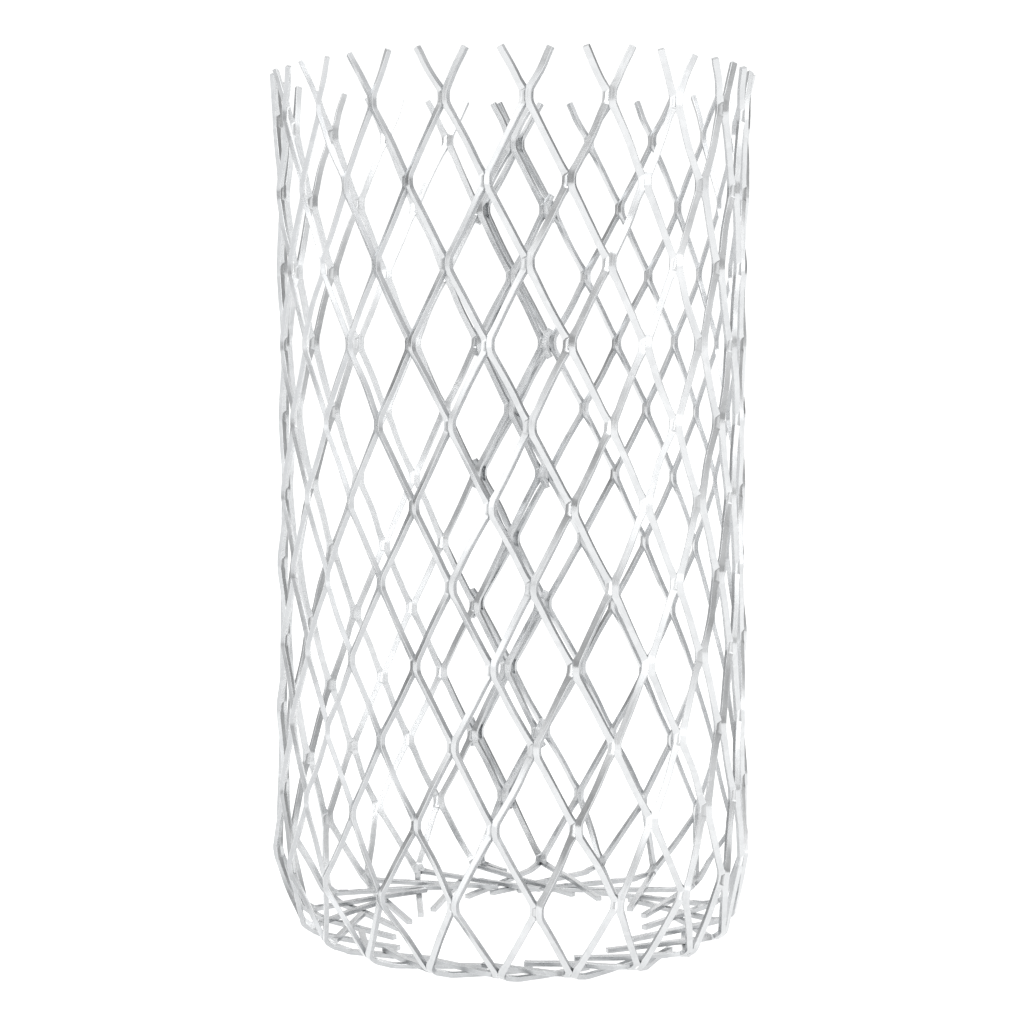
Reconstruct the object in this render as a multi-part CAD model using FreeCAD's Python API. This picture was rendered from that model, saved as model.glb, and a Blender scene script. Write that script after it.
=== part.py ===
"""Tree guard tube: expanded metal mesh rolled into a cylinder, its bottom edge folded in as an open floor.

The sheet was slit in staggered rows and stretched, so it is a set of zigzag strands that stay joined at
short bonds. Each strand is one solid: it starts at a cut tip on the rim, zigzags down the wall, turns in
at the fold and ends as a free finger on the floor. Neighbouring strands meet face to face at the bonds.

Frame: +Z up the tube, origin at the centre of its base. Azimuth 0 faces -Y and grows towards +X.
"""
import FreeCAD, Part
import math
import os

# Mesh, millimetres
DIAMOND_WIDTH = 25.4
DIAMOND_LENGTH = 50.0
DIAMONDS_ROUND = 20
STRAND_WIDTH = 2.1
SHEET_THICKNESS = 1.6
BOND_LENGTH = 3.6
STRAND_TILT = 33.0          # degrees that stretching turns the strands out of the sheet

# Wall of the tube
FOLD_ROW = 11               # rows of bonds are numbered down from 0, just under the rim
TIP_FRACTION = 0.63         # free length of a rim tip, as a fraction of a strand between bonds
FLARE = 0.011               # how much the radius grows towards the base, as a fraction of it
BARREL = 0.021              # how much it grows towards both ends
FOLD_RADIUS = 75.0          # bonds of the fold
FOLD_HEIGHT = 3.45
FOLD_OUT_OF_ROUND = 0.45    # share of the wall's out-of-roundness that is left at the fold
TIP_FLARE = 1.5             # how far the rim's cut tips spring outwards
FRONT_AZIMUTH = 0.9         # degrees, column 0 at row 0
SKEW_PER_ROW = 0.24         # degrees of slow twist, from rolling the sheet slightly askew

# Hand rolling leaves the tube a little oval and a little three-sided, with its back left standing out;
# all as fractions of the radius
OVAL = 0.039
OVAL_TURN = math.radians(34)
THREE_SIDED = 0.029
THREE_SIDED_TURN = math.radians(-71)
BULGE = 0.04
BULGE_AZIMUTH = math.radians(-125)
BULGE_SPREAD = math.radians(60)

# Lap seam at the back, one diamond wide
LAP_RISE = 2.7              # how far the outer layer stands off the inner one
LAP_SLIP = -2.7             # how far the outer layer's bonds run past the inner one's, round the tube
LAP_FULL = 18               # column from which the layers are fully apart
LAP_BLEND = 8               # columns over which they part
LAP_FINGER_LENGTH = 14.0    # the outermost strand is trimmed shorter, where two would lie side by side
INNER_EDGE_ROW = 10         # the innermost strand is cut off under this row, above the fold
STUB_LEG = 4.0              # length of the cut ends left at the bonds of both edges

# Floor fingers
FINGER_LENGTH = 43.0
FINGER_LENGTH_SWING = 13.0  # longer at the back, shorter at the front
FINGER_SPLAY = 40.0         # degrees from straight inwards
FINGER_SPLAY_SWING = 15.0   # wider at the front, narrower at the back
FINGER_STEP = 6.0           # length over which a finger settles to its own level
LENGTH_PATTERN = (0.0, 3.0, -2.0, 1.5, -4.0, 2.0, -1.0)
SPLAY_PATTERN = (0.0, 1.0, -0.6, 0.6, -0.8)
UPPER_LEVEL = 1.75          # underside of the fingers that cross over the others

HALF_DIAMOND = DIAMOND_LENGTH / 2
RADIUS = DIAMONDS_ROUND * DIAMOND_WIDTH / (2 * math.pi)
COLUMNS_ROUND = 2 * DIAMONDS_ROUND
COLUMN_STEP = (360.0 + math.degrees(LAP_SLIP / RADIUS + BULGE * BULGE_SPREAD)) / COLUMNS_ROUND
FIRST_COLUMN = -DIAMONDS_ROUND - 1
LAST_COLUMN = DIAMONDS_ROUND + 1
WALL_MIDDLE = 5             # row where the wall is narrowest
UP = FreeCAD.Vector(0, 0, 1)


def unit(vector):
    return vector / vector.Length


def profile(row):
    """Radius and height of a row of bonds; row -1 is where the next row above the rim would be."""
    if row == FOLD_ROW:
        return FOLD_RADIUS, FOLD_HEIGHT
    along = (row - WALL_MIDDLE) / WALL_MIDDLE
    radius = RADIUS * (1 + FLARE * along + BARREL * along ** 2)
    last_along = (FOLD_ROW - 1 - WALL_MIDDLE) / WALL_MIDDLE
    last_radius = RADIUS * (1 + FLARE * last_along + BARREL * last_along ** 2)
    last_height = FOLD_HEIGHT + math.sqrt(HALF_DIAMOND ** 2 - (last_radius - FOLD_RADIUS) ** 2)
    return radius, last_height + (FOLD_ROW - 1 - row) * HALF_DIAMOND


def lean_between(upper_row, lower_row):
    """Angle from straight down to the line between two rows, positive towards the axis."""
    upper_radius, upper_height = profile(upper_row)
    lower_radius, lower_height = profile(lower_row)
    return math.atan2(upper_radius - lower_radius, upper_height - lower_height)


def lean_at(row):
    """Angle of a bond from straight down: halfway between the stretches above and below it."""
    if row < 0:
        return lean_between(row, row + 1)
    below = math.pi / 2 if row == FOLD_ROW else lean_between(row, row + 1)
    above = lean_between(row - 1, row) if row > 0 else below
    return (above + below) / 2


def lap_share(column):
    share = (column - (LAP_FULL - LAP_BLEND)) / LAP_BLEND
    return min(max(share, 0.0), 1.0)


def lap_offset(column):
    """The outer layer leaves the outline outwards, and the inner one inwards."""
    return LAP_RISE / 2 * (lap_share(column) - lap_share(-column))


def azimuth(column, row):
    """Where a column stands. Columns are evenly spaced along the outline, which isn't quite round."""
    even = math.radians(FRONT_AZIMUTH + column * COLUMN_STEP + row * SKEW_PER_ROW)
    return even - outline_lead(even) + outline_lead(0)


def bulge_place(turn):
    """Place across the bulge, from -1 at its start to 1 at its end, for a turn from its middle."""
    return min(max(turn / BULGE_SPREAD, -1.0), 1.0)


def outline_lead(angle):
    """How far the outline's length runs ahead of a true circle's, as an angle."""
    place = bulge_place(angle - BULGE_AZIMUTH)
    bulge = BULGE * BULGE_SPREAD * (place / 2 + math.sin(math.pi * place) / (2 * math.pi) - 0.5)
    oval = OVAL / 2 * math.sin(2 * angle + OVAL_TURN)
    three_sided = THREE_SIDED / 3 * math.sin(3 * angle + THREE_SIDED_TURN)
    return oval + three_sided + bulge


def outline(angle, row):
    """Radius of the outline at an azimuth, as a fraction of the round tube's."""
    place = bulge_place((angle - BULGE_AZIMUTH + math.pi) % (2 * math.pi) - math.pi)
    bulge = BULGE * math.cos(math.pi / 2 * place) ** 2
    oval = OVAL * math.cos(2 * angle + OVAL_TURN)
    three_sided = THREE_SIDED * math.cos(3 * angle + THREE_SIDED_TURN)
    share = FOLD_OUT_OF_ROUND if row == FOLD_ROW else 1.0
    return 1 + share * (oval + three_sided + bulge)


def outward(angle):
    return FreeCAD.Vector(math.sin(angle), -math.cos(angle), 0)


def sideways(angle):
    return FreeCAD.Vector(math.cos(angle), math.sin(angle), 0)


class Bond:
    """Where two neighbouring strands stay joined: its centre, its downward axis and its section's axes."""

    def __init__(self, column, row):
        angle = azimuth(column, row)
        radius, height = profile(row)
        lean = lean_at(row)
        tilt = math.radians(STRAND_TILT / 2 if row == FOLD_ROW else STRAND_TILT)
        normal = outward(angle) * math.cos(lean) - UP * math.sin(lean)
        self.angle = angle
        self.centre = outward(angle) * (radius * outline(angle, row) + lap_offset(column)) + UP * height
        self.axis = outward(angle) * -math.sin(lean) - UP * math.cos(lean)
        self.across = sideways(angle) * math.cos(tilt) + normal * math.sin(tilt)
        self.through = normal * math.cos(tilt) - sideways(angle) * math.sin(tilt)

    def end(self, side, down):
        """Centre of one strand at the bond's upper (down = -1) or lower (down = 1) end."""
        return self.centre + self.across * (side * STRAND_WIDTH / 2) + self.axis * (down * BOND_LENGTH / 2)


def section(centre, across, through, axis, plane_normal):
    """Strand section cut by a plane: its corners slide along the axis until they lie in that plane."""
    corners = []
    for a, t in ((-1, -1), (1, -1), (1, 1), (-1, 1)):
        corner = across * (a * STRAND_WIDTH / 2) + through * (t * SHEET_THICKNESS / 2)
        slide = -corner.dot(plane_normal) / axis.dot(plane_normal)
        corners.append(centre + corner + axis * slide)
    return Part.makePolygon(corners + corners[:1])


def bond_column(strand, row):
    """Column of the bond that a strand touches at a row, and the side of that bond it lies on."""
    if (strand + row) % 2 == 0:
        return strand, 1
    return strand + 1, -1


def bond_sections(strand, row, before, after):
    """Sections at the two ends of one bond, mitred to the stretches before and after it."""
    column, side = bond_column(strand, row)
    bond = Bond(column, row)
    upper = bond.end(side, -1)
    lower = bond.end(side, 1)
    arriving = unit(unit(upper - before) + bond.axis)
    leaving = unit(bond.axis + unit(after - lower))
    return [section(upper, bond.across, bond.through, bond.axis, arriving),
            section(lower, bond.across, bond.through, bond.axis, leaving)]


def rim_tip(strand):
    """Centre and section of the cut tip above the first row."""
    column, side = bond_column(strand, 0)
    missing_column, missing_side = bond_column(strand, -1)
    bond = Bond(column, 0)
    missing = Bond(missing_column, -1)
    start = bond.end(side, -1)
    tip = start + (missing.end(missing_side, 1) - start) * TIP_FRACTION + outward(bond.angle) * TIP_FLARE
    across = unit(bond.across + missing.across)
    through = unit(bond.through + missing.through)
    return tip, section(tip, across, through, unit(start - tip), UP)


def floor_finger(strand):
    """Sections of the free end on the floor, and the point it sets off towards."""
    column, side = bond_column(strand, FOLD_ROW)
    bond = Bond(column, FOLD_ROW)
    frontness = math.cos(bond.angle)
    turn = strand + DIAMONDS_ROUND
    length = (FINGER_LENGTH - FINGER_LENGTH_SWING * frontness
              + LENGTH_PATTERN[turn % len(LENGTH_PATTERN)])
    if strand == LAST_COLUMN - 1:
        length = LAP_FINGER_LENGTH
    splay = math.radians(FINGER_SPLAY + FINGER_SPLAY_SWING * frontness
                         + SPLAY_PATTERN[turn % len(SPLAY_PATTERN)])
    inward = outward(bond.angle) * -1
    heading = inward * math.cos(splay) + sideways(bond.angle) * (side * math.sin(splay))
    across = sideways(bond.angle) * math.cos(splay) - inward * (side * math.sin(splay))
    underside = 0.0 if side > 0 else UPPER_LEVEL
    start = bond.end(side, 1)
    floor_start = FreeCAD.Vector(start.x, start.y, underside + SHEET_THICKNESS / 2)
    settled = floor_start + heading * FINGER_STEP
    end = floor_start + heading * length
    bend = unit(unit(settled - start) + heading)
    sections = [section(settled, across, UP * -1, heading, bend),
                section(end, across, UP * -1, heading, heading)]
    return settled, sections


def cut_leg(strand, row, down):
    """Where a strand is cut off just below (down = 1) or above (down = -1) a bond: a point on the leg, and
    the leg's last section in a list."""
    column, side = bond_column(strand, row)
    next_column, next_side = bond_column(strand, row + down)
    bond = Bond(column, row)
    start = bond.end(side, down)
    heading = unit(Bond(next_column, row + down).end(next_side, -down) - start)
    end = start + heading * STUB_LEG
    return end, [section(end, bond.across, bond.through, heading, heading)]


def build_strand(strand):
    tip, tip_section = rim_tip(strand)
    if strand == FIRST_COLUMN:
        last_row = INNER_EDGE_ROW
        end_start, end_sections = cut_leg(strand, last_row, 1)
    else:
        last_row = FOLD_ROW
        end_start, end_sections = floor_finger(strand)
    bonds = [Bond(bond_column(strand, row)[0], row) for row in range(last_row + 1)]
    sides = [bond_column(strand, row)[1] for row in range(last_row + 1)]
    sections = [tip_section]
    for row in range(last_row + 1):
        before = tip if row == 0 else bonds[row - 1].end(sides[row - 1], 1)
        after = end_start if row == last_row else bonds[row + 1].end(sides[row + 1], -1)
        sections += bond_sections(strand, row, before, after)
    return Part.makeLoft(sections + end_sections, True, True)


def build_stub(strand, row):
    """What is left at one bond of a strand that was cut away beyond an edge of the lap."""
    above, top = cut_leg(strand, row, -1)
    below, bottom = cut_leg(strand, row, 1)
    return Part.makeLoft(top + bond_sections(strand, row, above, below) + bottom, True, True)


def build_seam_stubs():
    cut_strands = (FIRST_COLUMN - 1, LAST_COLUMN)
    rows = range(1, FOLD_ROW - 1, 2)
    return Part.makeCompound([build_stub(strand, row) for strand in cut_strands for row in rows])


def build_nodes():
    """Every node by name, moved so that the origin is the centre of the base."""
    nodes = {}
    for strand in range(FIRST_COLUMN, LAST_COLUMN):
        nodes[f"mesh_strand_{strand - FIRST_COLUMN + 1:02d}"] = build_strand(strand)
    nodes["seam_stubs"] = build_seam_stubs()
    box = Part.makeCompound(list(nodes.values())).BoundBox
    shift = FreeCAD.Vector(-box.Center.x, -box.Center.y, -box.ZMin)
    for shape in nodes.values():
        shape.translate(shift)
    print("moved to the base's centre by", shift)
    return nodes


os.makedirs("parts", exist_ok=True)
for name, shape in build_nodes().items():
    shape.exportStep(f"parts/{name}.step")
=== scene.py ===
"""Looks of the tree guard tube: every CAD strand gets a ribbon of sheared, galvanised steel in its place.

Lengths are in millimetres until a mesh is made. The strands follow the same lattice as the CAD model: bonds
in staggered rows round a slightly out-of-round tube, with zigzag strands between them. The ribbons add what
the CAD leaves out: bends with a radius, webs of zinc in the crotches, rounded sheared edges, uneven hand
bending and cut ends.
"""
import math
import random

import bpy
import numpy as np
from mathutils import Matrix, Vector


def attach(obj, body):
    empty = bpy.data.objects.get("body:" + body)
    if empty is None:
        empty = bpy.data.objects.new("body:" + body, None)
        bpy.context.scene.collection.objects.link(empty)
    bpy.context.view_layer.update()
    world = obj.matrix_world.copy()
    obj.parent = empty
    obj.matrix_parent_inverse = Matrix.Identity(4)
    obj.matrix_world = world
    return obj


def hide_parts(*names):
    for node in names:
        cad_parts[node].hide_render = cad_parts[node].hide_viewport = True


MM = 0.001
TOP_SLICE = 0.00005         # metres under a CAD strand's top that still count as its tip

# Mesh, as in the CAD model
DIAMOND_WIDTH = 25.4
HALF_DIAMOND = 25.0
DIAMONDS_ROUND = 20
STRAND_WIDTH = 2.1
SHEET_THICKNESS = 1.6
BOND_LENGTH = 3.6
STRAND_TILT = 33.0
FOLD_ROW = 11
TIP_FRACTION = 0.63
FLARE = 0.011
BARREL = 0.021
FOLD_RADIUS = 75.0
FOLD_HEIGHT = 3.45
FOLD_OUT_OF_ROUND = 0.45
TIP_FLARE = 1.5
FRONT_AZIMUTH = 0.9
SKEW_PER_ROW = 0.24
OVAL = 0.039
OVAL_TURN = math.radians(34)
THREE_SIDED = 0.029
THREE_SIDED_TURN = math.radians(-71)
BULGE = 0.04
BULGE_AZIMUTH = math.radians(-125)
BULGE_SPREAD = math.radians(60)
LAP_RISE = 2.7
LAP_SLIP = -2.7
LAP_FULL = 18
LAP_BLEND = 8
LAP_FINGER_LENGTH = 14.0
INNER_EDGE_ROW = 10
STUB_LEG = 4.0
FINGER_LENGTH = 43.0
FINGER_LENGTH_SWING = 13.0
FINGER_SPLAY = 40.0
FINGER_SPLAY_SWING = 15.0
FINGER_STEP = 6.0
LENGTH_PATTERN = (0.0, 3.0, -2.0, 1.5, -4.0, 2.0, -1.0)
SPLAY_PATTERN = (0.0, 1.0, -0.6, 0.6, -0.8)
UPPER_LEVEL = 1.75

RADIUS = DIAMONDS_ROUND * DIAMOND_WIDTH / (2 * math.pi)
COLUMN_STEP = (360.0 + math.degrees(LAP_SLIP / RADIUS + BULGE * BULGE_SPREAD)) / (2 * DIAMONDS_ROUND)
FIRST_COLUMN = -DIAMONDS_ROUND - 1
LAST_COLUMN = DIAMONDS_ROUND + 1
WALL_MIDDLE = 5
UP = Vector((0, 0, 1))

# What the ribbons add, millimetres
BEND_REACH = 1.3            # how far a bend's curve reaches along each stretch
SAMPLE_STEP = 2.4           # spacing of ribbon sections along a straight stretch
BEND_SAMPLES = 5
EDGE_RADIUS = 0.16          # sheared edges, rounded by the zinc
WEB_FULL = 0.22             # a crotch narrower than this is filled with zinc
WEB_END = 0.75              # and one wider than this is clear
BOND_JITTER = (0.30, 0.30, 0.35)    # round the tube, through the wall, along it
BOW = 0.28                  # sideways bow of a stretch
TWIST = math.radians(3.5)
CAP_DEPTH = 0.12            # cut ends bulge this much
CAP_SHRINK = 0.86
TIP_UNEVEN = 0.03           # how much shorter a rim tip may be, as a share of a stretch
SAG_SHARE = 0.7             # bow through the wall, as a share of the sideways one
EDGE_POINTS = 3             # points round each edge of a section
SHEARED_SIDES = (5, 11)     # sides of the section ring that the slits left
SHEARED, CUT, SHEET = 1.0, 0.5, 0.0     # what the attribute "sheared" says about a face
NO_JITTER = (0.0, 0.0, 0.0)

# Seeds of the random draws, each with the strand, row or column added
BOND_SEED_STEP = 1000
TIP_SEED = 70
STRAND_SEED = 500
STUB_SEED = 900


# ---------------------------------------------------------------- lattice

def profile(row):
    """Mean radius and height of a row of bonds."""
    if row == FOLD_ROW:
        return FOLD_RADIUS, FOLD_HEIGHT
    along = (row - WALL_MIDDLE) / WALL_MIDDLE
    radius = RADIUS * (1 + FLARE * along + BARREL * along ** 2)
    last_radius = RADIUS * (1 + FLARE + BARREL)
    last_height = FOLD_HEIGHT + math.sqrt(HALF_DIAMOND ** 2 - (last_radius - FOLD_RADIUS) ** 2)
    return radius, last_height + (FOLD_ROW - 1 - row) * HALF_DIAMOND


def lean_between(upper_row, lower_row):
    upper_radius, upper_height = profile(upper_row)
    lower_radius, lower_height = profile(lower_row)
    return math.atan2(upper_radius - lower_radius, upper_height - lower_height)


def lean_at(row):
    """Angle of a bond from straight down: halfway between the stretches above and below it."""
    if row < 0:
        return lean_between(row, row + 1)
    below = math.pi / 2 if row == FOLD_ROW else lean_between(row, row + 1)
    above = lean_between(row - 1, row) if row > 0 else below
    return (above + below) / 2


def bulge_place(turn):
    """Place in the bulge, from -1 to 1, of a turn away from its middle."""
    return min(max(turn / BULGE_SPREAD, -1.0), 1.0)


def outline_lead(angle):
    """How far round the tube an evenly spaced place moves, so that spacing is even along the outline."""
    place = bulge_place(angle - BULGE_AZIMUTH)
    bulge = BULGE * BULGE_SPREAD * (place / 2 + math.sin(math.pi * place) / (2 * math.pi) - 0.5)
    oval = OVAL / 2 * math.sin(2 * angle + OVAL_TURN)
    three_sided = THREE_SIDED / 3 * math.sin(3 * angle + THREE_SIDED_TURN)
    return oval + three_sided + bulge


def outline(angle, row):
    """The wall's radius in a direction, as a share of its mean."""
    place = bulge_place((angle - BULGE_AZIMUTH + math.pi) % (2 * math.pi) - math.pi)
    bulge = BULGE * math.cos(math.pi / 2 * place) ** 2
    oval = OVAL * math.cos(2 * angle + OVAL_TURN)
    three_sided = THREE_SIDED * math.cos(3 * angle + THREE_SIDED_TURN)
    share = FOLD_OUT_OF_ROUND if row == FOLD_ROW else 1.0
    return 1 + share * (oval + three_sided + bulge)


def azimuth(column, row):
    even = math.radians(FRONT_AZIMUTH + column * COLUMN_STEP + row * SKEW_PER_ROW)
    return even - outline_lead(even) + outline_lead(0)


def lap_share(column):
    """How far the layer that ends past LAST_COLUMN has parted from the other, from 0 to 1."""
    return min(max((column - (LAP_FULL - LAP_BLEND)) / LAP_BLEND, 0.0), 1.0)


def lap_offset(column):
    """Distance outwards that the lap moves a column."""
    return LAP_RISE / 2 * (lap_share(column) - lap_share(-column))


def outward(angle):
    return Vector((math.sin(angle), -math.cos(angle), 0))


def sideways(angle):
    return Vector((math.cos(angle), math.sin(angle), 0))


class Bond:
    """A bond's centre, downward axis and section axes, with the unevenness of a stretched sheet."""

    def __init__(self, column, row, jitter=BOND_JITTER):
        draw = random.Random(BOND_SEED_STEP * row + column)
        angle = azimuth(column, row)
        radius, height = profile(row)
        lean = lean_at(row)
        tilt = math.radians(STRAND_TILT / 2 if row == FOLD_ROW else STRAND_TILT)
        normal = outward(angle) * math.cos(lean) - UP * math.sin(lean)
        loose = 0.0 if row == FOLD_ROW else 1.0
        uneven = [draw.uniform(-1, 1) * loose * amount for amount in jitter]
        self.angle = angle
        self.axis = outward(angle) * -math.sin(lean) - UP * math.cos(lean)
        self.across = sideways(angle) * math.cos(tilt) + normal * math.sin(tilt)
        self.through = normal * math.cos(tilt) - sideways(angle) * math.sin(tilt)
        self.centre = outward(angle) * (radius * outline(angle, row) + lap_offset(column)) + UP * height
        self.centre += sideways(angle) * uneven[0] + normal * uneven[1] + self.axis * uneven[2]

    def end(self, side, down):
        return self.centre + self.across * (side * STRAND_WIDTH / 2) + self.axis * (down * BOND_LENGTH / 2)


def bond_column(strand, row):
    """Column of the bond that a strand touches at a row, and the side of that bond it lies on."""
    if (strand + row) % 2 == 0:
        return strand, 1
    return strand + 1, -1


# ---------------------------------------------------------------- strand routes

class Corner:
    """A point where a strand's route bends, with the section's axes there. bond and side say which face is
    joined to the neighbour, on the corners that a bond has."""

    def __init__(self, point, across, through, bond=None, side=0):
        self.point = point
        self.across = across
        self.through = through
        self.bond = bond
        self.side = side


def bond_corners(column, side, row):
    bond = Bond(column, row)
    return [Corner(bond.end(side, -1), bond.across, bond.through, bond, side),
            Corner(bond.end(side, 1), bond.across, bond.through, bond, side)]


def rim_corner(strand):
    column, side = bond_column(strand, 0)
    missing_column, missing_side = bond_column(strand, -1)
    bond = Bond(column, 0)
    missing = Bond(missing_column, -1)
    draw = random.Random(TIP_SEED + strand)
    start = bond.end(side, -1)
    reach = TIP_FRACTION - draw.uniform(0.0, TIP_UNEVEN)
    tip = start + (missing.end(missing_side, 1) - start) * reach + outward(bond.angle) * TIP_FLARE
    across = (bond.across + missing.across).normalized()
    return Corner(tip, across, (bond.through + missing.through).normalized())


def finger_corners(strand):
    """The free end on the floor: it settles to its level, then runs on with a slight bow to its cut end."""
    column, side = bond_column(strand, FOLD_ROW)
    bond = Bond(column, FOLD_ROW)
    frontness = math.cos(bond.angle)
    turn = strand + DIAMONDS_ROUND
    length = FINGER_LENGTH - FINGER_LENGTH_SWING * frontness + LENGTH_PATTERN[turn % len(LENGTH_PATTERN)]
    if strand == LAST_COLUMN - 1:
        length = LAP_FINGER_LENGTH
    splay = FINGER_SPLAY + FINGER_SPLAY_SWING * frontness + SPLAY_PATTERN[turn % len(SPLAY_PATTERN)]
    splay = math.radians(splay)
    inward = outward(bond.angle) * -1
    heading = inward * math.cos(splay) + sideways(bond.angle) * (side * math.sin(splay))
    across = sideways(bond.angle) * math.cos(splay) - inward * (side * math.sin(splay))
    underside = 0.0 if side > 0 else UPPER_LEVEL
    start = bond.end(side, 1)
    floor_start = Vector((start.x, start.y, underside + SHEET_THICKNESS / 2))
    return [Corner(floor_start + heading * FINGER_STEP, across, UP * -1),
            Corner(floor_start + heading * length, across, UP * -1)]


def cut_leg(strand, row, down):
    """The end of a strand cut off just below (down = 1) or above (down = -1) a bond."""
    column, side = bond_column(strand, row)
    next_column, next_side = bond_column(strand, row + down)
    bond = Bond(column, row)
    start = bond.end(side, down)
    heading = (Bond(next_column, row + down).end(next_side, -down) - start).normalized()
    return Corner(start + heading * STUB_LEG, bond.across, bond.through)


def strand_corners(strand):
    corners = [rim_corner(strand)]
    is_inner_edge = strand == FIRST_COLUMN
    last_row = INNER_EDGE_ROW if is_inner_edge else FOLD_ROW
    for row in range(last_row + 1):
        column, side = bond_column(strand, row)
        corners += bond_corners(column, side, row)
    return corners + ([cut_leg(strand, last_row, 1)] if is_inner_edge else finger_corners(strand))


def stub_corners(strand, row):
    """What is left at one bond of a strand cut away beyond an edge of the lap."""
    column, side = bond_column(strand, row)
    return [cut_leg(strand, row, -1), *bond_corners(column, side, row), cut_leg(strand, row, 1)]


# ---------------------------------------------------------------- ribbons

class Station:
    """One section of a ribbon: centre, direction, section axes, distance run, and its joined face."""

    def __init__(self, point, across, through, bond, side):
        self.point = point
        self.across = across
        self.through = through
        self.bond = bond
        self.side = side
        self.tangent = None
        self.run = 0.0


def mixed(a, b, share):
    return a.lerp(b, share).normalized()


def finish_frames(stations):
    """Gives each station its tangent and makes its section axes square to it."""
    last = len(stations) - 1
    for i, station in enumerate(stations):
        ahead = stations[min(i + 1, last)].point
        behind = stations[max(i - 1, 0)].point
        station.tangent = (ahead - behind).normalized()
        if i > 0:
            station.run = stations[i - 1].run + (station.point - stations[i - 1].point).length
    for station in stations:
        tangent = station.tangent
        station.across = (station.across - tangent * station.across.dot(tangent)).normalized()
        squared = tangent.cross(station.across)
        station.through = squared if squared.dot(station.through) > 0 else -squared


def route_stations(corners, draw):
    """Stations along a strand: straight stretches with a little bow and twist, joined by curved bends."""
    stations = []
    for i, corner in enumerate(corners):
        if i > 0:
            before = corners[i - 1]
            span = corner.point - before.point
            heading = span.normalized()
            in_bond = corner.bond is not None and corner.bond is before.bond
            start = 0.0 if i == 1 else BEND_REACH
            end = span.length - (0.0 if i == len(corners) - 1 else BEND_REACH)
            count = max(1, round((end - start) / SAMPLE_STEP))
            bow = 0.0 if in_bond else draw.gauss(0, BOW)
            sag = 0.0 if in_bond else draw.gauss(0, BOW * SAG_SHARE)
            twist = 0.0 if in_bond else draw.gauss(0, TWIST)
            for k in range(count + 1):
                at = start + (end - start) * k / count
                share = at / span.length
                swell = math.sin(math.pi * share) ** 2
                across = mixed(before.across, corner.across, share)
                through = mixed(before.through, corner.through, share)
                point = before.point + heading * at + across * (bow * swell) + through * (sag * swell)
                turned = (across + through * (twist * swell)).normalized()
                near = before if share < 0.5 else corner
                stations.append(Station(point, turned, through, near.bond, near.side))
        if 0 < i < len(corners) - 1:
            into = (corner.point - corners[i - 1].point).normalized()
            out = (corners[i + 1].point - corner.point).normalized()
            first = corner.point - into * BEND_REACH
            last = corner.point + out * BEND_REACH
            for k in range(1, BEND_SAMPLES):
                u = k / BEND_SAMPLES
                point = first * (1 - u) ** 2 + corner.point * (2 * u * (1 - u)) + last * u ** 2
                stations.append(Station(point, corner.across.copy(), corner.through.copy(),
                                        corner.bond, corner.side))
    finish_frames(stations)
    return stations


def smoothstep(low, high, value):
    share = min(max((value - low) / (high - low), 0.0), 1.0)
    return share * share * (3 - 2 * share)


def web_fill(station):
    """How far the joined side is filled to the bond's middle plane, and how sharp that makes its edge."""
    if station.bond is None:
        return 0.0, 0.0
    bond = station.bond
    inner = station.point - station.across * (station.side * STRAND_WIDTH / 2)
    gap = (inner - bond.centre).dot(bond.across) * station.side
    along = abs((inner - bond.centre).dot(bond.axis))
    if along > BOND_LENGTH:
        return 0.0, 0.0
    filled = 1 - smoothstep(WEB_FULL, WEB_END, gap)
    return gap * filled, filled


def section_ring(station):
    """Points round one section, EDGE_POINTS to each rounded edge, each with its normal."""
    half_width = STRAND_WIDTH / 2
    half_thickness = SHEET_THICKNESS / 2
    fill, joined = web_fill(station)
    ring = []
    for a, t in ((-1, -1), (1, -1), (1, 1), (-1, 1)):
        is_joined_side = station.side != 0 and a == -station.side
        radius = EDGE_RADIUS * (1 - joined) if is_joined_side else EDGE_RADIUS
        width = half_width + (fill if is_joined_side else 0.0)
        centre_a = a * (width - radius)
        centre_t = t * (half_thickness - radius)
        for k in range(EDGE_POINTS):
            turn = math.pi / 2 * k / (EDGE_POINTS - 1)
            side_part, face_part = math.sin(turn), math.cos(turn)
            if a * t > 0:
                side_part, face_part = face_part, side_part
            offset_a = centre_a + a * radius * side_part
            offset_t = centre_t + t * radius * face_part
            point = station.point + station.across * offset_a + station.through * offset_t
            ring.append((point, station.across * (a * side_part) + station.through * (t * face_part)))
    return ring


class Shell:
    """The mesh of one piece while it is put together."""

    def __init__(self):
        self.points = []
        self.normals = []
        self.faces = []
        self.uvs = []
        self.sheared = []

    def add_points(self, ring):
        for point, normal in ring:
            self.points.append((point + AXIS) * MM)
            self.normals.append(normal)
        return len(self.points) - len(ring)

    def add_face(self, corners, uvs, sheared):
        self.faces.append(corners)
        self.uvs.extend(uvs)
        self.sheared.append(sheared)


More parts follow.
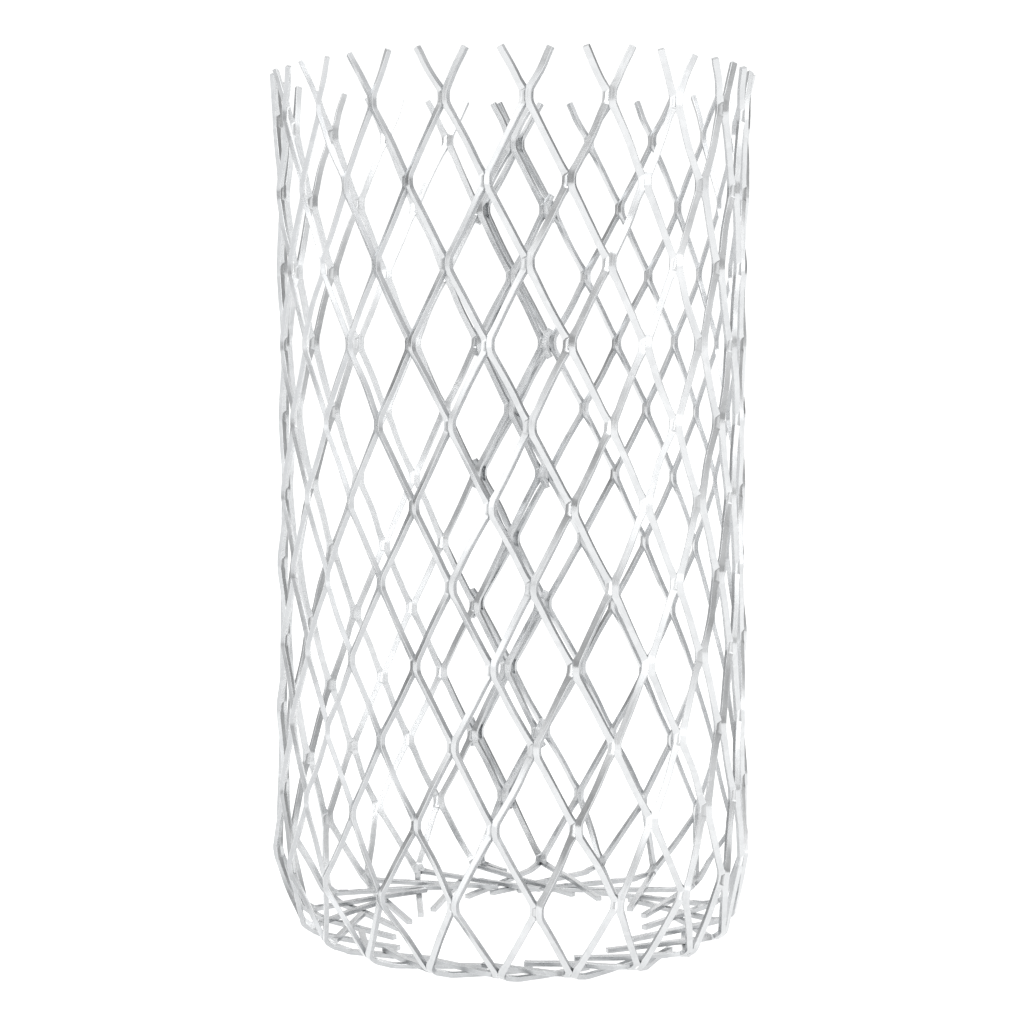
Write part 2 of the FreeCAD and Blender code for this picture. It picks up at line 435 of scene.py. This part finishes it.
def add_ribbon(shell, stations):
    """Adds one closed ribbon: rings of quads with a rounded cap at each end."""
    rings = [section_ring(station) for station in stations]
    size = len(rings[0])
    bases = [shell.add_points(ring) for ring in rings]
    for i in range(len(rings) - 1):
        run_a, run_b = stations[i].run, stations[i + 1].run
        for k in range(size):
            n = (k + 1) % size
            corners = (bases[i] + k, bases[i] + n, bases[i + 1] + n, bases[i + 1] + k)
            shell.add_face(corners, [(run_a, k), (run_a, k + 1), (run_b, k + 1), (run_b, k)],
                           SHEARED if k in SHEARED_SIDES else SHEET)
    for i, direction in ((0, -1), (len(rings) - 1, 1)):
        station = stations[i]
        facing = station.tangent * direction
        middle = station.point + facing * CAP_DEPTH
        cap = [(middle + (point - station.point) * CAP_SHRINK, facing) for point, normal in rings[i]]
        start = shell.add_points(cap)
        for k in range(size):
            n = (k + 1) % size
            corners = (bases[i] + k, bases[i] + n, start + n, start + k)
            shell.add_face(corners[::direction], [(station.run, k)] * 4, CUT)
        rim = tuple(start + k for k in range(size))
        shell.add_face(rim[::direction], [(station.run, k) for k in range(size)], CUT)


def make_piece(name, routes, replaced):
    """One mesh object from one or more ribbons, riding on the root and standing for a CAD node."""
    shell = Shell()
    for stations in routes:
        add_ribbon(shell, stations)
    mesh = bpy.data.meshes.new(name)
    mesh.from_pydata(shell.points, [], shell.faces)
    uv = mesh.uv_layers.new(name="run")
    for loop, value in zip(uv.data, shell.uvs):
        loop.uv = value
    kind = mesh.attributes.new("sheared", "FLOAT", "FACE")
    kind.data.foreach_set("value", shell.sheared)
    mesh.polygons.foreach_set("use_smooth", [True] * len(mesh.polygons))
    mesh.normals_split_custom_set_from_vertices(shell.normals)
    mesh.materials.append(zinc)
    piece = bpy.data.objects.new(name, mesh)
    bpy.context.scene.collection.objects.link(piece)
    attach(piece, "root")
    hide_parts(replaced)


def plain_tip(strand):
    """A rim tip of the CAD model's even lattice, measured from the tube's axis."""
    column, side = bond_column(strand, 0)
    missing_column, missing_side = bond_column(strand, -1)
    bond = Bond(column, 0, NO_JITTER)
    start = bond.end(side, -1)
    reach = (Bond(missing_column, -1, NO_JITTER).end(missing_side, 1) - start) * TIP_FRACTION
    return start + reach + outward(bond.angle) * TIP_FLARE


def tube_axis():
    """Where the CAD frame has the tube's axis: the mean offset between its rim tips and the lattice's."""
    offsets = []
    for strand in range(FIRST_COLUMN, LAST_COLUMN):
        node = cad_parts[node_name(strand)]
        points = np.array([v.co for v in node.data.vertices])
        top = points[points[:, 2] > points[:, 2].max() - TOP_SLICE]
        offsets.append(top.mean(0) / MM - np.array(plain_tip(strand)))
    return Vector(np.mean(offsets, axis=0) * np.array([1, 1, 0]))


def node_name(strand):
    return f"mesh_strand_{strand - FIRST_COLUMN + 1:02d}"


# ---------------------------------------------------------------- material

# Scales of the patterns: per metre, but drawn marks run per millimetre along and per side round the strand
SPANGLE_SCALE = 420.0
CLOUD_SCALE = 55.0
GRAIN_SCALE = 2600.0
DRAWN_SCALE = (0.12, 2.4, 1.0)

# The part of each noise's range that is used
CLOUD_RANGE = (0.3, 0.7)
DRAWN_RANGE = (0.25, 0.75)

# How much each pattern lightens or darkens the zinc, either way, on a scale of 0 to 1
SPANGLE_TONE = 0.035
CLOUD_TONE = 0.06
DRAWN_TONE = 0.05
SHEARED_TONE = 0.18         # the sheared faces are only darker
MIDDLE_TONE = 0.5
DARK_TONE, DARK_ZINC = 0.3, (0.48, 0.49, 0.50, 1)
LIGHT_TONE, LIGHT_ZINC = 0.7, (0.73, 0.74, 0.745, 1)

SPANGLE_ROUGHNESS = (0.12, 0.20)
DRAWN_ROUGHNESS = (-0.05, 0.07)
SHEARED_ROUGHNESS = 0.12

# Bump strength and height in metres
GRAIN_BUMP = (0.35, 0.00004)
DRAWN_BUMP = (0.5, 0.00006)


def zinc_material():
    """Galvanised zinc: spangle, clouds and grain in the metal, and marks drawn along each strand."""
    material = bpy.data.materials.new("galvanised_zinc")
    material.use_nodes = True
    nodes, links = material.node_tree.nodes, material.node_tree.links
    shader = nodes["Principled BSDF"]
    shader.inputs["Metallic"].default_value = 1.0
    coords = nodes.new("ShaderNodeTexCoord")

    def pattern(kind, source, **inputs):
        made = nodes.new(kind)
        for key, value in inputs.items():
            made.inputs[key].default_value = value
        links.new(source, made.inputs["Vector"])
        return made

    def mapped(source, low, high, from_low=0.0, from_high=1.0):
        made = nodes.new("ShaderNodeMapRange")
        made.inputs["From Min"].default_value = from_low
        made.inputs["From Max"].default_value = from_high
        made.inputs["To Min"].default_value = low
        made.inputs["To Max"].default_value = high
        links.new(source, made.inputs["Value"])
        return made.outputs["Result"]

    def math_node(operation, a, b):
        made = nodes.new("ShaderNodeMath")
        made.operation = operation
        for socket, value in zip(made.inputs, (a, b)):
            if isinstance(value, float):
                socket.default_value = value
            else:
                links.new(value, socket)
        return made.outputs["Value"]

    def bump(height, settings, under=None):
        made = nodes.new("ShaderNodeBump")
        made.inputs["Strength"].default_value, made.inputs["Distance"].default_value = settings
        links.new(height, made.inputs["Height"])
        if under is not None:
            links.new(under.outputs["Normal"], made.inputs["Normal"])
        return made

    in_metal, along = coords.outputs["Object"], coords.outputs["UV"]
    spangle = pattern("ShaderNodeTexVoronoi", in_metal, Scale=SPANGLE_SCALE)
    spangle_value = nodes.new("ShaderNodeSeparateColor")
    links.new(spangle.outputs["Color"], spangle_value.inputs["Color"])
    cloud = pattern("ShaderNodeTexNoise", in_metal, Scale=CLOUD_SCALE, Detail=4.0, Roughness=0.6)
    grain = pattern("ShaderNodeTexNoise", in_metal, Scale=GRAIN_SCALE, Detail=3.0, Roughness=0.65)
    stretch = pattern("ShaderNodeMapping", along, Scale=DRAWN_SCALE)
    drawn = pattern("ShaderNodeTexNoise", stretch.outputs["Vector"], Scale=1.0, Detail=5.0, Roughness=0.7)
    sheared = nodes.new("ShaderNodeAttribute")
    sheared.attribute_name = "sheared"

    tone = math_node("ADD", mapped(spangle_value.outputs["Red"], -SPANGLE_TONE, SPANGLE_TONE),
                     mapped(cloud.outputs["Fac"], -CLOUD_TONE, CLOUD_TONE, *CLOUD_RANGE))
    tone = math_node("ADD", tone, mapped(drawn.outputs["Fac"], -DRAWN_TONE, DRAWN_TONE, *DRAWN_RANGE))
    tone = math_node("SUBTRACT", tone, mapped(sheared.outputs["Fac"], 0.0, SHEARED_TONE))
    tone = math_node("ADD", tone, MIDDLE_TONE)
    ramp = nodes.new("ShaderNodeValToRGB")
    dark, light = ramp.color_ramp.elements
    dark.position, dark.color = DARK_TONE, DARK_ZINC
    light.position, light.color = LIGHT_TONE, LIGHT_ZINC
    links.new(tone, ramp.inputs["Fac"])
    links.new(ramp.outputs["Color"], shader.inputs["Base Color"])

    rough = math_node("ADD", mapped(spangle_value.outputs["Green"], *SPANGLE_ROUGHNESS),
                      mapped(drawn.outputs["Fac"], *DRAWN_ROUGHNESS, *DRAWN_RANGE))
    rough = math_node("ADD", rough, mapped(sheared.outputs["Fac"], 0.0, SHEARED_ROUGHNESS))
    links.new(rough, shader.inputs["Roughness"])

    grained = bump(grain.outputs["Fac"], GRAIN_BUMP)
    marked = bump(drawn.outputs["Fac"], DRAWN_BUMP, under=grained)
    links.new(marked.outputs["Normal"], shader.inputs["Normal"])
    return material


# ---------------------------------------------------------------- studio

# Camera, in metres and millimetres of lens and sensor
CAMERA_DISTANCE = 0.758
CAMERA_HEIGHT = 0.2057
CAMERA_PITCH = 0.0812       # radians below level
LENS = 77.45
SENSOR = 36.0
SHIFT_X = -0.00108
CLIP = (0.02, 50)

# Brightness of the tent by azimuth in degrees, of its ceiling, and of the white behind the tube
PANELS = ((-180, 0.9), (-132, 0.75), (-116, 0.25), (-98, 1.3), (-76, 2.0), (-50, 0.55),
          (-34, 0.45), (-14, 1.7), (8, 2.2), (32, 1.0), (56, 0.5), (70, 0.7),
          (86, 2.3), (104, 0.8), (124, 0.35), (142, 0.4), (160, 2.0), (180, 0.9))
CEILING = 1.1
CEILING_EDGE = (0.35, 0.85)     # sines of the heights where the ceiling starts and is full
BACKDROP = 1.15

FLOOR_HALF = 6.0
FLOOR_GREY = 0.5
FLOOR_GLOW = 0.78
FLOOR_ROUGHNESS = 0.9
FLOOR_SHEEN = 0.2
AIM_HEIGHT = 0.145              # what the softbox points at


def make_camera():
    data = bpy.data.cameras.new("camera")
    data.lens = LENS
    data.sensor_width = SENSOR
    data.shift_x = SHIFT_X
    data.clip_start, data.clip_end = CLIP
    camera = bpy.data.objects.new("camera", data)
    camera.location = (0, -CAMERA_DISTANCE, CAMERA_HEIGHT)
    camera.rotation_euler = (math.pi / 2 - CAMERA_PITCH, 0, 0)
    bpy.context.scene.collection.objects.link(camera)
    bpy.context.scene.camera = camera


def grey(level):
    return (level, level, level, 1)


def make_floor():
    """A large pale floor that glows enough to merge with the white behind it."""
    mesh = bpy.data.meshes.new("floor")
    corners = [(x * FLOOR_HALF, y * FLOOR_HALF, 0) for x, y in ((-1, -1), (1, -1), (1, 1), (-1, 1))]
    mesh.from_pydata(corners, [], [(0, 1, 2, 3)])
    floor = bpy.data.objects.new("floor", mesh)
    bpy.context.scene.collection.objects.link(floor)
    paint = bpy.data.materials.new("floor_paint")
    paint.use_nodes = True
    shader = paint.node_tree.nodes["Principled BSDF"]
    shader.inputs["Base Color"].default_value = grey(FLOOR_GREY)
    shader.inputs["Emission Color"].default_value = grey(1)
    shader.inputs["Emission Strength"].default_value = FLOOR_GLOW
    shader.inputs["Roughness"].default_value = FLOOR_ROUGHNESS
    shader.inputs["Specular IOR Level"].default_value = FLOOR_SHEEN
    mesh.materials.append(paint)


def make_world():
    """A clean white studio behind the tube. The metal mirrors the tent round it: white cloth with greyer
    gaps between the panels, a bright ceiling and the pale floor."""
    world = bpy.data.worlds.new("studio")
    world.use_nodes = True
    nodes, links = world.node_tree.nodes, world.node_tree.links
    output = nodes["World Output"]
    tent = nodes["Background"]
    coords = nodes.new("ShaderNodeTexCoord")
    axes = nodes.new("ShaderNodeSeparateXYZ")
    links.new(coords.outputs["Generated"], axes.inputs["Vector"])
    towards = nodes.new("ShaderNodeMath")
    towards.operation = "MULTIPLY"
    towards.inputs[1].default_value = -1.0
    links.new(axes.outputs["Y"], towards.inputs[0])
    turn = nodes.new("ShaderNodeMath")
    turn.operation = "ARCTAN2"
    links.new(axes.outputs["X"], turn.inputs[0])
    links.new(towards.outputs["Value"], turn.inputs[1])
    place = nodes.new("ShaderNodeMapRange")
    place.inputs["From Min"].default_value = -math.pi
    place.inputs["From Max"].default_value = math.pi
    links.new(turn.outputs["Value"], place.inputs["Value"])
    panels = nodes.new("ShaderNodeValToRGB")
    stops = panels.color_ramp.elements
    for stop, (degrees, level) in zip(stops[:], (PANELS[0], PANELS[-1])):
        stop.position, stop.color = (degrees + 180) / 360, grey(level)
    for degrees, level in PANELS[1:-1]:
        stop = stops.new((degrees + 180) / 360)
        stop.color = grey(level)
    links.new(place.outputs["Result"], panels.inputs["Fac"])
    height = nodes.new("ShaderNodeMapRange")
    height.interpolation_type = "SMOOTHSTEP"
    height.inputs["From Min"].default_value, height.inputs["From Max"].default_value = CEILING_EDGE
    links.new(axes.outputs["Z"], height.inputs["Value"])
    ceiling = nodes.new("ShaderNodeMix")
    ceiling.data_type = "RGBA"
    ceiling.inputs["B"].default_value = grey(CEILING)
    links.new(height.outputs["Result"], ceiling.inputs["Factor"])
    links.new(panels.outputs["Color"], ceiling.inputs["A"])
    links.new(ceiling.outputs["Result"], tent.inputs["Color"])
    backdrop = nodes.new("ShaderNodeBackground")
    backdrop.inputs["Color"].default_value = grey(1)
    backdrop.inputs["Strength"].default_value = BACKDROP
    seen = nodes.new("ShaderNodeLightPath")
    choice = nodes.new("ShaderNodeMixShader")
    links.new(seen.outputs["Is Camera Ray"], choice.inputs["Fac"])
    links.new(tent.outputs["Background"], choice.inputs[1])
    links.new(backdrop.outputs["Background"], choice.inputs[2])
    links.new(choice.outputs["Shader"], output.inputs["Surface"])
    bpy.context.scene.world = world


def softbox(name, azimuth_deg, elevation_deg, distance, side, power):
    data = bpy.data.lights.new(name, "AREA")
    data.shape = "RECTANGLE"
    data.size = data.size_y = side
    data.energy = power
    light = bpy.data.objects.new(name, data)
    elevation = math.radians(elevation_deg)
    towards = outward(math.radians(azimuth_deg)) * math.cos(elevation) + UP * math.sin(elevation)
    aim = UP * AIM_HEIGHT
    light.location = aim + towards * distance
    light.rotation_mode = "QUATERNION"
    light.rotation_quaternion = (aim - light.location).to_track_quat("-Z", "Y")
    bpy.context.scene.collection.objects.link(light)


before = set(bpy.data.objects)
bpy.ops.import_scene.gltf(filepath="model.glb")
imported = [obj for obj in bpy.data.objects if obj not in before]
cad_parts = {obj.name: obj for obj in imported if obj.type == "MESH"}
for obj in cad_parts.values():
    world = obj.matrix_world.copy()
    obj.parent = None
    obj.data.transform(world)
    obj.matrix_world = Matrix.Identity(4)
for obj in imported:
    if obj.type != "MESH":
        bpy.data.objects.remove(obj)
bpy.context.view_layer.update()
make_camera()
make_floor()
make_world()
softbox("ceiling_light", azimuth_deg=-20, elevation_deg=62, distance=1.3, side=0.8, power=4)
zinc = zinc_material()
AXIS = tube_axis()

for strand in range(FIRST_COLUMN, LAST_COLUMN):
    stations = route_stations(strand_corners(strand), random.Random(STRAND_SEED + strand))
    make_piece("strand_ribbon_" + node_name(strand)[-2:], [stations], node_name(strand))

stub_routes = [route_stations(stub_corners(strand, row), random.Random(STUB_SEED + strand + row))
               for strand in (FIRST_COLUMN - 1, LAST_COLUMN) for row in range(1, FOLD_ROW - 1, 2)]
make_piece("seam_stub_ends", stub_routes, "seam_stubs")

bpy.context.scene.view_settings.view_transform = "Standard"
